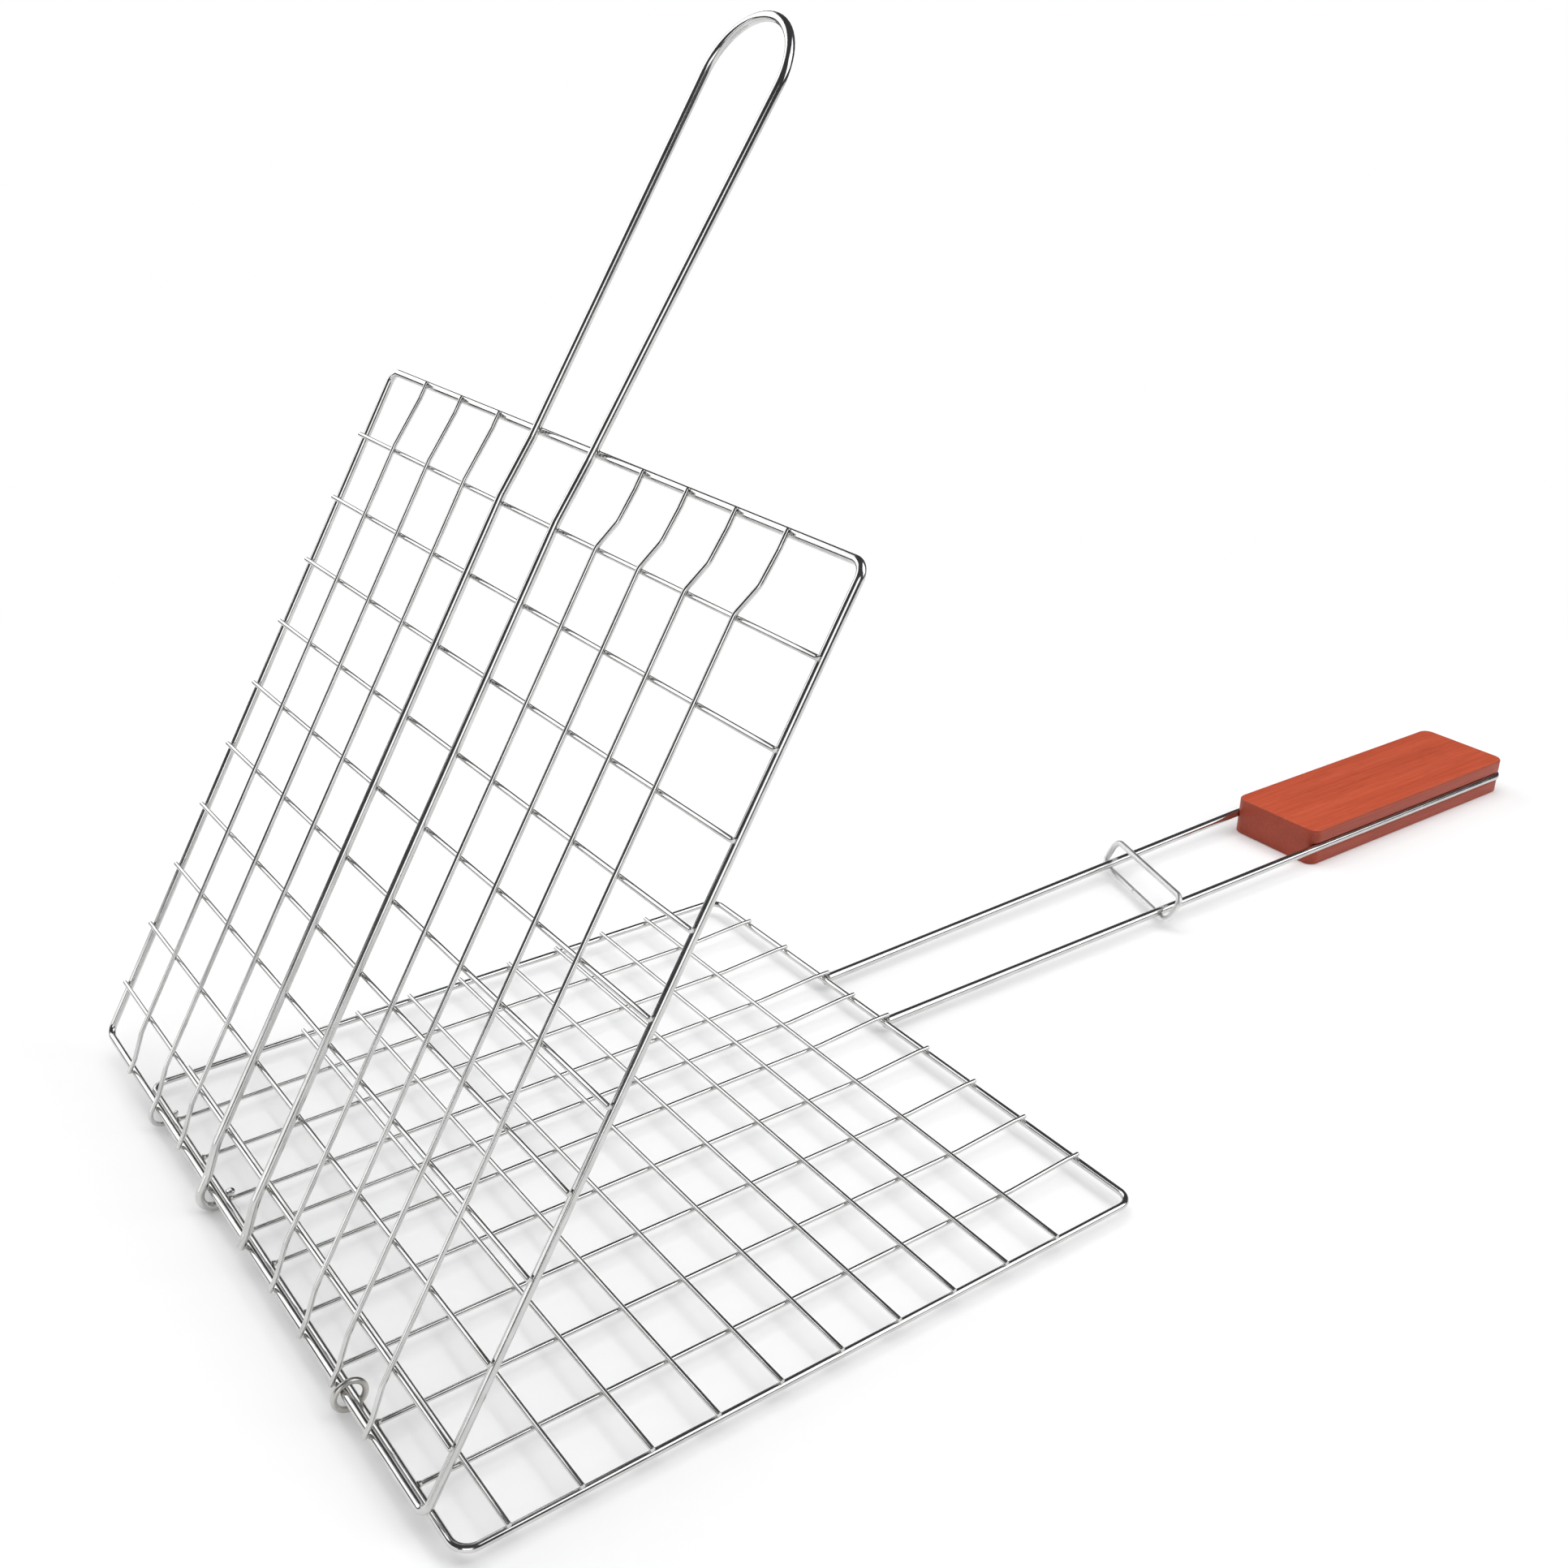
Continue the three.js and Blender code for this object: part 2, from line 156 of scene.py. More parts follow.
class Nodes:
    """Short ways to add and join a material's nodes."""

    def __init__(self, name):
        self.material = bpy.data.materials.new(name)
        self.material.use_nodes = True
        self.tree = self.material.node_tree
        self.shader = self.tree.nodes["Principled BSDF"]

    def add(self, kind, **settings):
        node = self.tree.nodes.new(kind)
        for key, value in settings.items():
            setattr(node, key, value)
        return node

    def join(self, start, end):
        self.tree.links.new(start, end)

    def coordinates(self, scale, source="Object"):
        mapping = self.add("ShaderNodeMapping")
        mapping.inputs["Scale"].default_value = scale
        self.join(self.add("ShaderNodeTexCoord").outputs[source], mapping.inputs["Vector"])
        return mapping.outputs["Vector"]

    def noise(self, vector, scale, detail=4.0, roughness=0.55, distortion=0.0):
        node = self.add("ShaderNodeTexNoise")
        node.inputs["Scale"].default_value = scale
        node.inputs["Detail"].default_value = detail
        node.inputs["Roughness"].default_value = roughness
        node.inputs["Distortion"].default_value = distortion
        self.join(vector, node.inputs["Vector"])
        return node.outputs["Fac"]

    def ramp(self, value, *stops):
        node = self.add("ShaderNodeValToRGB")
        elements = node.color_ramp.elements
        while len(elements) < len(stops):
            elements.new(0.5)
        for element, (position, colour) in zip(elements, stops):
            element.position = position
            element.color = (*colour, 1)
        self.join(value, node.inputs["Fac"])
        return node.outputs["Color"]

    def span(self, value, low, high):
        """value, from 0 to 1, spread over low to high."""
        node = self.add("ShaderNodeMapRange")
        node.inputs["To Min"].default_value = low
        node.inputs["To Max"].default_value = high
        self.join(value, node.inputs["Value"])
        return node.outputs["Result"]

    def mix(self, factor, a, b, blend_type="MIX"):
        node = self.add("ShaderNodeMix", data_type="RGBA", blend_type=blend_type)
        for socket, value in ((node.inputs[0], factor), (node.inputs[6], a), (node.inputs[7], b)):
            if isinstance(value, bpy.types.NodeSocket):
                self.join(value, socket)
            elif isinstance(value, tuple):
                socket.default_value = (*value, 1)
            else:
                socket.default_value = value
        return node.outputs[2]

    def bump(self, height, strength, distance, normal=None):
        node = self.add("ShaderNodeBump")
        node.inputs["Strength"].default_value = strength
        node.inputs["Distance"].default_value = distance
        self.join(height, node.inputs["Height"])
        if normal is not None:
            self.join(normal, node.inputs["Normal"])
        return node.outputs["Normal"]


def steel_material(name, bright, dull, roughness, streaks):
    """Plated steel wire: cloudy plating, with fine lines along the wire from the drawing die."""
    nodes = Nodes(name)
    shader = nodes.shader
    along = nodes.coordinates((40, 60, 1), "UV")
    place = nodes.coordinates((1, 1, 1))
    clouds = nodes.noise(place, scale=90, detail=3)
    specks = nodes.noise(place, scale=900, detail=2)
    drawn = nodes.noise(along, scale=1, detail=5, roughness=0.7)
    colour = nodes.ramp(clouds, (0.35, dull), (0.65, bright))
    colour = nodes.mix(nodes.span(specks, low=0, high=0.25), colour, dull)
    nodes.join(colour, shader.inputs["Base Color"])
    shader.inputs["Metallic"].default_value = 1
    uneven = nodes.span(clouds, low=0.7 * roughness, high=1.4 * roughness)
    nodes.join(uneven, shader.inputs["Roughness"])
    fine = nodes.bump(drawn, strength=streaks, distance=0.02 * MM)
    coarse = nodes.bump(clouds, strength=streaks, distance=0.05 * MM, normal=fine)
    nodes.join(coarse, shader.inputs["Normal"])
    return nodes.material


def weld_material():
    """The squeezed-out steel of a spot weld: duller and a little browner than the wires."""
    nodes = Nodes("spot_weld")
    shader = nodes.shader
    place = nodes.coordinates((1, 1, 1))
    burn = nodes.noise(place, scale=700, detail=3)
    colour = nodes.ramp(burn, (0.3, (0.42, 0.40, 0.37)), (0.7, (0.72, 0.71, 0.69)))
    nodes.join(colour, shader.inputs["Base Color"])
    shader.inputs["Metallic"].default_value = 1
    nodes.join(nodes.span(burn, low=0.28, high=0.5), shader.inputs["Roughness"])
    nodes.join(nodes.bump(burn, strength=0.5, distance=0.08 * MM), shader.inputs["Normal"])
    return nodes.material


def wood_material():
    """Red-brown stained hardwood with its grain along X, under a satin varnish. The sides and ends are made
    darker than the top by painted shade, set by how far each face turns from upright."""
    nodes = Nodes("stained_wood")
    shader = nodes.shader
    figure = nodes.noise(nodes.coordinates((4, 90, 120)), scale=1, detail=3, distortion=0.3)
    grain = nodes.noise(nodes.coordinates((22, 620, 620)), scale=1, detail=6, roughness=0.7)
    pores = nodes.noise(nodes.coordinates((60, 1500, 1500)), scale=1, detail=2, roughness=0.5)
    colour = nodes.ramp(
        figure,
        (0.25, (0.495, 0.080, 0.034)),
        (0.50, (0.550, 0.093, 0.041)),
        (0.75, (0.595, 0.107, 0.048)),
    )
    streak = nodes.ramp(grain, (0.30, (0.62, 0.56, 0.54)), (0.60, (1.0, 1.0, 1.0)))
    colour = nodes.mix(0.55, colour, streak, "MULTIPLY")
    pore = nodes.ramp(pores, (0.28, (0.35, 0.28, 0.26)), (0.38, (1.0, 1.0, 1.0)))
    colour = nodes.mix(0.5, colour, pore, "MULTIPLY")
    # painted shade: faces turned away from upright, the sides and ends, are darkened as if less lit than the
    # top
    facing = nodes.add("ShaderNodeSeparateXYZ")
    nodes.join(nodes.coordinates((1, 1, 1), "Normal"), facing.inputs[0])
    flat = nodes.add("ShaderNodeMath", operation="ABSOLUTE")
    nodes.join(facing.outputs["Z"], flat.inputs[0])
    painted_side_shade = nodes.ramp(flat.outputs[0], (0.45, (0.62, 0.47, 0.36)), (0.95, (1.0, 1.0, 1.0)))
    colour = nodes.mix(1.0, colour, painted_side_shade, "MULTIPLY")
    nodes.join(colour, shader.inputs["Base Color"])
    nodes.join(nodes.span(grain, low=0.52, high=0.36), shader.inputs["Roughness"])
    shader.inputs["Specular IOR Level"].default_value = 0.35
    shader.inputs["Coat Weight"].default_value = 0.12
    shader.inputs["Coat Roughness"].default_value = 0.3
    pitted = nodes.bump(pores, strength=0.25, distance=0.1 * MM)
    ridged = nodes.bump(grain, strength=0.35, distance=0.15 * MM, normal=pitted)
    nodes.join(ridged, shader.inputs["Normal"])
    return nodes.material


plated = steel_material(
    "bright_plated_wire", bright=(0.68, 0.68, 0.67), dull=(0.56, 0.56, 0.55), roughness=0.13, streaks=0.25
)
ring_steel = steel_material(
    "dull_ring_wire", bright=(0.90, 0.90, 0.89), dull=(0.78, 0.78, 0.77), roughness=0.5, streaks=0.5
)
hinge_steel = steel_material(
    "weathered_ring_wire", bright=(0.66, 0.65, 0.62), dull=(0.46, 0.45, 0.42), roughness=0.3, streaks=0.5
)
welded = weld_material()
stained_wood = wood_material()

# ---------- pieces ----------


def piece(name, mesh, material, body, slot, *nodes):
    """A smooth-shaded piece on a body, standing for the CAD nodes that it replaces."""
    mesh.materials.append(material)
    mesh.shade_smooth()
    made = bpy.data.objects.new(name, mesh)
    bpy.context.scene.collection.objects.link(made)
    if nodes:
        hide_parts(*nodes)
    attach(made, body)


def route(corners):
    """Stations (point, direction) along straight runs joined by round bends. A corner is (x, y, z) or
    (x, y, z, bend radius)."""
    points = [Vector(c[:3]) for c in corners]
    bends = [c[3] if len(c) > 3 else 0 for c in corners]
    stations = []

    def run_to(point, direction):
        if stations:
            start = stations[-1][0]
            length = (point - start).length
            if length < TOUCHING:
                return
            steps = math.ceil(length / RUN_STEP)
            stations.extend((start.lerp(point, i / steps), direction) for i in range(1, steps))
        stations.append((point, direction))

    for i, point in enumerate(points):
        into = (point - points[i - 1]).normalized() if i else None
        out = (points[i + 1] - point).normalized() if i + 1 < len(points) else None
        if into is None or out is None or not bends[i]:
            run_to(point, out if into is None else into)
            continue
        turn = into.angle(out)
        axis = into.cross(out).normalized()
        start = point - into * (bends[i] * math.tan(turn / 2))
        centre = start + axis.cross(into) * bends[i]
        run_to(start, into)
        facets = max(2, math.ceil(turn / BEND_STEP))
        for k in range(1, facets + 1):
            spin = Matrix.Rotation(turn * k / facets, 3, axis)
            stations.append((centre + spin @ (start - centre), spin @ into))
    return stations


# a wire's cut end: how far in from its tip, and how thick there, both in wire radii
END_PROFILE = ((0.0, 0.80), (0.07, 0.91), (0.20, 0.975), (0.42, 1.0))
NEARLY_UPRIGHT = 0.99  # Z of a direction


def wire_mesh(name, stations, radius, layout, closed=False):
    """A round wire through the stations, with softened cut ends, or joined up if it is closed."""
    sides = THIN_SIDES if radius <= THIN else THICK_SIDES
    if closed:
        rings = [(p, t, radius) for p, t in stations]
    else:
        (first, out), (last, into) = stations[0], stations[-1]
        rings = [(first + out * (back * radius), out, radius * share) for back, share in END_PROFILE]
        rings += [(p, t, radius) for p, t in stations[1:-1]]
        for back, share in reversed(END_PROFILE):
            rings.append((last - into * (back * radius), into, radius * share))

    direction = rings[0][1]
    upright = abs(direction.z) >= NEARLY_UPRIGHT
    side = direction.orthogonal() if upright else direction.cross(Vector((0, 0, 1)))
    side.normalize()
    vertices, lengths = [], []
    travelled, previous = 0.0, rings[0][0]
    for point, tangent, size in rings:
        side = direction.rotation_difference(tangent) @ side
        side = (side - tangent * side.dot(tangent)).normalized()
        direction = tangent
        up = tangent.cross(side)
        travelled += (point - previous).length
        previous = point
        lengths.append(travelled)
        for j in range(sides):
            angle = 2 * math.pi * j / sides
            vertices.append(point + (side * math.cos(angle) + up * math.sin(angle)) * size)

    faces, uvs = [], []
    count = len(rings)
    for i in range(count if closed else count - 1):
        after = (i + 1) % count
        u = (lengths[i], lengths[after] if after else travelled + RUN_STEP)
        for j in range(sides):
            k = (j + 1) % sides
            faces.append((i * sides + j, after * sides + j, after * sides + k, i * sides + k))
            v = (j / sides, (j + 1) / sides)
            uvs += [(u[0], v[0]), (u[1], v[0]), (u[1], v[1]), (u[0], v[1])]
    if not closed:
        for ring, tip in ((0, rings[0]), (count - 1, rings[-1])):
            centre = len(vertices)
            vertices.append(tip[0])
            for j in range(sides):
                k = (j + 1) % sides
                edge = (ring * sides + j, ring * sides + k)
                faces.append((centre, *(reversed(edge) if ring else edge)))
                uvs += [(lengths[ring], 0.5), (lengths[ring], j / sides), (lengths[ring], (j + 1) / sides)]
    mesh = bpy.data.meshes.new(name)
    mesh.from_pydata([layout @ v for v in vertices], [], [tuple(reversed(f)) for f in faces])
    layer = mesh.uv_layers.new(name="along")
    position = 0
    for polygon in mesh.polygons:
        size = polygon.loop_total
        for n in range(size):
            u, v = uvs[position + size - 1 - n]
            layer.data[polygon.loop_start + n].uv = (u * MM, v)
        position += size
    return mesh


def wire(name, body, corners, radius, layout, material=plated, slot="steel"):
    """A round wire with two ends, in place of the CAD node of that name."""
    mesh = wire_mesh(name, route(corners), radius, layout)
    piece(f"{name}_round", mesh, material, body, slot, name)


def rim(name, body, start, end, front, width, bend, radius, layout, height=0):
    """A frame wire: a rectangle with round corners, joined up in the middle of its back side."""
    back = front + width
    middle_of_back = ((start + end) / 2, back, height)
    corners = [
        middle_of_back,
        (end, back, height, bend),
        (end, front, height, bend),
        (start, front, height, bend),
        (start, back, height, bend),
        middle_of_back,
    ]
    stations = route(corners)[:-1]
    mesh = wire_mesh(name, stations, radius, layout, closed=True)
    piece(f"{name}_round", mesh, plated, body, "steel", name)


# ---------- welds ----------


class Welds:
    """The welds of one body, gathered into one mesh."""

    SPOKES, LEVELS = 16, 6
    NECK, FLARE = 0.62, 0.86  # radius at a neck's waist and at its ends, in radii of the thinner wire
    SINK = 0.12  # how far a neck's ends go into the wires, in millimetres

    # a collar: how far along the wire, and how thick there, both in wire radii
    COLLAR = ((0.0, 1.0), (0.0, 1.38), (0.22, 1.30), (0.48, 1.14), (0.85, 1.03), (1.1, 0.97))

    def __init__(self, layout):
        self.layout = layout
        self.vertices = []
        self.faces = []

    def crossing(self, x, y, z, above, below, above_along_x):
        """A neck of metal between two wires that cross. z is the middle of the gap, and above and below are
        the two wires' radii."""
        small = min(above, below)
        first = len(self.vertices)
        for level in range(self.LEVELS + 1):
            t = 2 * level / self.LEVELS - 1
            reach = small * (self.NECK + (self.FLARE - self.NECK) * t * t)
            for spoke in range(self.SPOKES):
                angle = 2 * math.pi * spoke / self.SPOKES
                dx, dy = math.cos(angle), math.sin(angle)
                radius = above if t > 0 else below
                across = dy if (t > 0) == above_along_x else dx
                depth = radius - math.sqrt(radius**2 - (self.FLARE * small * across) ** 2)
                height = t * (WELD_GAP / 2 + depth + self.SINK)
                self.vertices.append(Vector((x + reach * dx, y + reach * dy, z + height)))
        self.bridge(first, self.LEVELS + 1)

    def collar(self, start, direction, radius):
        """A fillet round a wire's end where it butts against another wire."""
        side = direction.orthogonal().normalized()
        up = direction.cross(side)
        first = len(self.vertices)
        for along, share in self.COLLAR:
            for spoke in range(self.SPOKES):
                angle = 2 * math.pi * spoke / self.SPOKES
                out = side * math.cos(angle) + up * math.sin(angle)
                self.vertices.append(start + direction * (along * radius) + out * (share * radius))
        self.bridge(first, len(self.COLLAR))

    def bridge(self, first, levels):
        """Faces between the levels of a neck or collar, and across its two ends."""
        spokes = self.SPOKES
        for level in range(levels - 1):
            low = first + level * spokes
            for j in range(spokes):
                k = (j + 1) % spokes
                self.faces.append((low + j, low + k, low + spokes + k, low + spokes + j))
        last = first + (levels - 1) * spokes
        self.faces.append(tuple(first + j for j in reversed(range(spokes))))
        self.faces.append(tuple(last + j for j in range(spokes)))

    def finish(self, name, body):
        mesh = bpy.data.meshes.new(name)
        mesh.from_pydata([self.layout @ v for v in self.vertices], [], self.faces)
        piece(name, mesh, welded, body, "steel")


# ---------- base grid and long handle ----------

rod_start = BASE_LENGTH + BASE_RIM + BUTT_GAP
grip_low, grip_high = extent("wooden_grip", BASE)
grip_middle = (grip_low.z + grip_high.z) / 2
rod_slope = (grip_middle + ROD_START_DROP) / (grip_low.x - rod_start)


def rod_height(x):
    """Height of the long handle's rods, which rise evenly to the middle of the grip."""
    return rod_slope * (x - rod_start) - ROD_START_DROP


def base_grid():
    rim("base_frame", "base", 0, BASE_LENGTH, 0, BASE_WIDTH, BASE_CORNER, BASE_RIM, BASE)
    for i, x in enumerate(base_crosses):
        ends = [(x, -OVERHANG, ON_BASE_RIM), (x, BASE_WIDTH + OVERHANG, ON_BASE_RIM)]
        wire(f"base_cross_wire_{i + 1}", "base", ends, THIN, BASE)
    for name in base_long_wires:
        low, high = extent(name, BASE)
        y = (low.y + high.y) / 2
        corners = [
            (low.x, y, UNDER_BASE_CROSS),
            (base_crosses[-1] + SLACK, y, UNDER_BASE_CROSS, SLACK),
            (BASE_LENGTH - SLACK, y, ON_BASE_RIM, SLACK),
            (high.x, y, ON_BASE_RIM),
        ]
        wire(name, "base", corners, THIN, BASE)


def base_handle():
    bend = GRIP_CORNER + BASE_ROD
    end = grip_high.x - BASE_ROD + WIRE_PROUD
    front, back = BASE_RODS
    grip_front, grip_back = front - ROD_SPLAY, back + ROD_SPLAY
    corners = [
        (rod_start, front, rod_height(rod_start)),
        (grip_low.x, grip_front, grip_middle, ROD_BEND),
        (end, grip_front, grip_middle, bend),
        (end, grip_back, grip_middle, bend),
        (grip_low.x, grip_back, grip_middle, ROD_BEND),
        (rod_start, back, rod_height(rod_start)),
    ]
    wire("base_handle_wire", "base", corners, BASE_ROD, BASE)


def base_welds():
    welds = Welds(BASE)
    rows = [middle(name, BASE).y for name in base_long_wires]
    along = Vector((1, 0, 0))
    under_cross = ON_BASE_RIM - THIN - WELD_GAP / 2
    on_rim = BASE_RIM + WELD_GAP / 2
    for x in base_crosses:
        for y in rows:
            welds.crossing(x, y, under_cross, THIN, THIN, False)
        for y in (0, BASE_WIDTH):
            welds.crossing(x, y, on_rim, THIN, BASE_RIM, False)
    for y in rows:
        welds.crossing(BASE_LENGTH, y, on_rim, THIN, BASE_RIM, True)
        welds.collar(Vector((BASE_RIM - WELD_GAP, y, UNDER_BASE_CROSS)), along, THIN)
    for y in BASE_RODS:
        rod_foot = Vector((BASE_LENGTH + BASE_RIM - BUTT_GAP, y, -ROD_START_DROP))
        welds.collar(rod_foot, along, BASE_ROD)
    welds.finish("base_welds", "base")


# ---------- wooden grip ----------

# the wire's centre lies this deep below the grip's sides, in a groove with a round floor
WIRE_DEPTH = BASE_RODS[0] - ROD_SPLAY - grip_low.y
GROOVE_RADIUS = BASE_ROD + GROOVE_CLEARANCE
GROOVE_FLOOR = WIRE_DEPTH + GROOVE_RADIUS
GROOVE_BEND = GRIP_CORNER - GROOVE_CLEARANCE


def grip_outline(inset, groove):
    """One level of the grip, seen from above. inset is the rounding of its top and bottom edges, and groove
    is how deep its two sides and far end are cut in at that level."""
    radius = GRIP_CORNER + GRIP_EDGE - inset
    near, far = grip_low.x + inset, grip_high.x - inset
    front, back = grip_low.y + inset, grip_high.y - inset
    clip = math.asin((radius - groove) / radius)
    points = []

    def arc(cx, cy, r, start, end):
        for i in range(GRIP_CORNER_STEPS + 1):
            angle = start + (end - start) * i / GRIP_CORNER_STEPS
            points.append((cx + r * math.cos(angle), cy + r * math.sin(angle)))

    def line(x0, y0, x1, y1, steps):
        for i in range(1, steps):
            points.append((x0 + (x1 - x0) * i / steps, y0 + (y1 - y0) * i / steps))

    far_depth = groove if groove <= MOUTH else groove - (WIRE_DEPTH - BASE_ROD + WIRE_PROUD)
    far_radius = radius + (GROOVE_BEND - radius) * groove / GROOVE_FLOOR
    x_far, y_front, y_back = far - far_depth, front + groove, back - groove
    arc(near + radius, front + radius, radius, math.pi, math.pi + clip)
    line(*points[-1], x_far - far_radius, y_front, GRIP_SIDE_STEPS)
    arc(x_far - far_radius, y_front + far_radius, far_radius, -QUARTER, 0)
    line(*points[-1], x_far, y_back - far_radius, GRIP_END_STEPS)
    arc(x_far - far_radius, y_back - far_radius, far_radius, 0, QUARTER)
    line(*points[-1], near + radius * (1 - math.cos(clip)), y_back, GRIP_SIDE_STEPS)
    arc(near + radius, back - radius, radius, math.pi - clip, math.pi)
    line(*points[-1], near, front + radius, GRIP_END_STEPS)
    return points


def quarter_turn(steps):
    """Cosine and sine at even steps from 0 to 90 degrees."""
    angles = [QUARTER * i / steps for i in range(steps + 1)]
    return [(math.cos(angle), math.sin(angle)) for angle in angles]


def grip_levels():
    """(height, inset, groove depth) from the bottom of the grip to its top."""
    levels = []
    for cos, sin in quarter_turn(EDGE_STEPS):
        levels.append((grip_low.z + GRIP_EDGE * (1 - cos), GRIP_EDGE * (1 - sin), 0))
    below = grip_middle - GROOVE_RADIUS
    for cos, sin in quarter_turn(MOUTH_STEPS):
        levels.append((below - MOUTH * (1 - sin), 0, MOUTH * (1 - cos)))
    for cos, sin in quarter_turn(GROOVE_STEPS):
        levels.append((grip_middle - GROOVE_RADIUS * cos, 0, WIRE_DEPTH + GROOVE_RADIUS * sin))
    mirrored = [(2 * grip_middle - z, e, g) for z, e, g in reversed(levels[:-1])]
    return levels + mirrored


def wooden_grip():
    levels = grip_levels()
    vertices, faces = [], []
    for z, inset, groove in levels:
        vertices += [Vector((x, y, z)) for x, y in grip_outline(inset, groove)]
    count = len(vertices) // len(levels)
    for level in range(len(levels) - 1):
        low = level * count
        for j in range(count):
            k = (j + 1) % count
            faces.append((low + j, low + k, low + count + k, low + count + j))
    top = (len(levels) - 1) * count
    faces.append(tuple(reversed(range(count))))
    faces.append(tuple(range(top, top + count)))
    mesh = bpy.data.meshes.new("wooden_grip")
    mesh.from_pydata([BASE @ v for v in vertices], [], faces)
    piece("wooden_grip_sanded", mesh, stained_wood, "base", "wood", "wooden_grip")
    mesh.set_sharp_from_angle(angle=GRIP_SHARP)


# ---------- slide ring ----------


def slide_ring():
    low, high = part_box("slide_ring")
    height = math.hypot(RING_ABOVE + RING_BELOW, RING_LEAN) / 2
    lean = math.atan2(RING_LEAN, RING_ABOVE + RING_BELOW)
    turned = Matrix.Rotation(-RING_SKEW, 4, "Z") @ Matrix.Rotation(lean, 4, "Y")
    layout = Matrix.Translation((low + high) / 2) @ turned @ Matrix.Scale(MM, 4)
    half = RING_LENGTH / 2
    corners = [
        (0, BUTT_GAP / 2, -height),
        (0, half, -height, RING_BEND),
        (0, half, height, RING_BEND),
        (0, -half, height, RING_BEND),
        (0, -half, -height, RING_BEND),
        (0, -BUTT_GAP / 2, -height),
    ]
    wire("slide_ring", "slide_ring", corners, SLIDE_RING, layout, material=ring_steel, slot="ring_steel")


# ---------- lid ----------


def hook(y, radius):
    """The corners of a hook: its cut end under the base's hinge wire, round the outside and onto the lid."""
    over = LID_RISE + LID_RIM + WELD_GAP + radius
    reach = BASE_RIM + HINGE_GAP + radius
    size = (over + reach) / 2
    curl = reach * math.tan(HOOK_END / 2)
    return [
        (reach * math.sin(HOOK_END), y, -reach * math.cos(HOOK_END)),
        (curl, y, -reach, reach),
        (-size, y, -reach, size),
        (-size, y, over, size),
        (LID_START + SLACK, y, over, SLACK),
    ]


def lid_grid():
    rim("lid_frame", "lid", LID_START, LID_END, LID_FRONT, LID_WIDTH, LID_CORNER, LID_RIM, LID, LID_RISE)
    height = LID_RISE + ON_LID_RIM
    for i, x in enumerate(lid_crosses):
        ends = [(x, LID_FRONT - OVERHANG, height), (x, LID_FRONT + LID_WIDTH + OVERHANG, height)]
        wire(f"lid_cross_wire_{i + 1}", "lid", ends, THIN, LID)


def lid_wire_nodes():
    """(name, y, sideways step, hooked) of the lid's thin long wires."""
    found = []
    for name in sorted(frame["nodes"]):
        if name.startswith("lid_front_wire"):
            found.append((name, extent(name, LID)[1].y - THIN, JOGGLE_SHIFT, False))
        elif name.startswith("lid_back_wire"):
            found.append((name, middle(name, LID).y, 0, False))
        elif name == "lid_hook_wire":
            found.append((name, middle(name, LID).y, 0, True))
    return found


def lid_long_wires():
    on_rim = LID_RISE + ON_LID_RIM
    raised = LID_RISE + ON_LID_CROSS
    for name, y, shift, hooked in lid_wire_nodes():
        plain = [(LID_START - OVERHANG, y, on_rim), (LID_START + SLACK, y, on_rim, SLACK)]
        corners = hook(y, THIN) if hooked else plain
        corners.append((lid_crosses[0] - SLACK, y, raised, SLACK))
        if shift:
            corners.append((JOGGLE_FROM, y, raised, SLACK))
            corners.append((JOGGLE_TO, y + shift, (raised + on_rim) / 2, SLACK))
        else:
            corners.append((lid_crosses[-1] + SLACK / 2, y, raised, SLACK))
        corners.append((LID_END - SLACK, y + shift, on_rim, SLACK))
        corners.append((LID_END + OVERHANG, y + shift, on_rim))
        wire(name, "lid", corners, THIN, LID)


def lid_handle():
    on_rim = LID_RISE + ROD_ON_LID_RIM
    raised = LID_RISE + ROD_ON_LID_CROSS
    tip = LID_END + LOOP_REACH

    def rod(y, tip_y):
        """Corners of one rod, from the lid's first cross wire to the loop's tip."""
        return [
            (lid_crosses[0] - SLACK, y, raised, 2 * SLACK),
            (lid_crosses[-1] + SLACK / 2, y, raised, 2 * SLACK),
            (LID_END - SLACK / 2, y, on_rim, 2 * SLACK),
            (tip, tip_y, on_rim - LOOP_DROP, LOOP_BEND),
        ]

    corners = hook(LID_RODS[1], LID_ROD) + rod(LID_RODS[1], LOOP_TIPS[1])
    corners += reversed(rod(LID_RODS[0], LOOP_TIPS[0]))
    corners += [(LID_START + SLACK, LID_RODS[0], on_rim, SLACK), (LID_START - OVERHANG, LID_RODS[0], on_rim)]
    wire("lid_handle_wire", "lid", corners, LID_ROD, LID)


def lid_welds():
    welds = Welds(LID)
    on_rim = LID_RISE + LID_RIM + WELD_GAP / 2
    on_cross = LID_RISE + ON_LID_RIM + THIN + WELD_GAP / 2
    rows = [(y, shift, THIN) for name, y, shift, hooked in lid_wire_nodes()]
    rows += [(y, 0, LID_ROD) for y in LID_RODS]
    for x in lid_crosses:
        for y, shift, radius in rows:
            welds.crossing(x, y, on_cross, radius, THIN, True)
        for y in (LID_FRONT, LID_FRONT + LID_WIDTH):
            welds.crossing(x, y, on_rim, THIN, LID_RIM, False)
    for y, shift, radius in rows:
        welds.crossing(LID_START, y, on_rim, radius, LID_RIM, True)
        welds.crossing(LID_END, y + shift, on_rim, radius, LID_RIM, True)
    welds.finish("lid_welds", "lid")


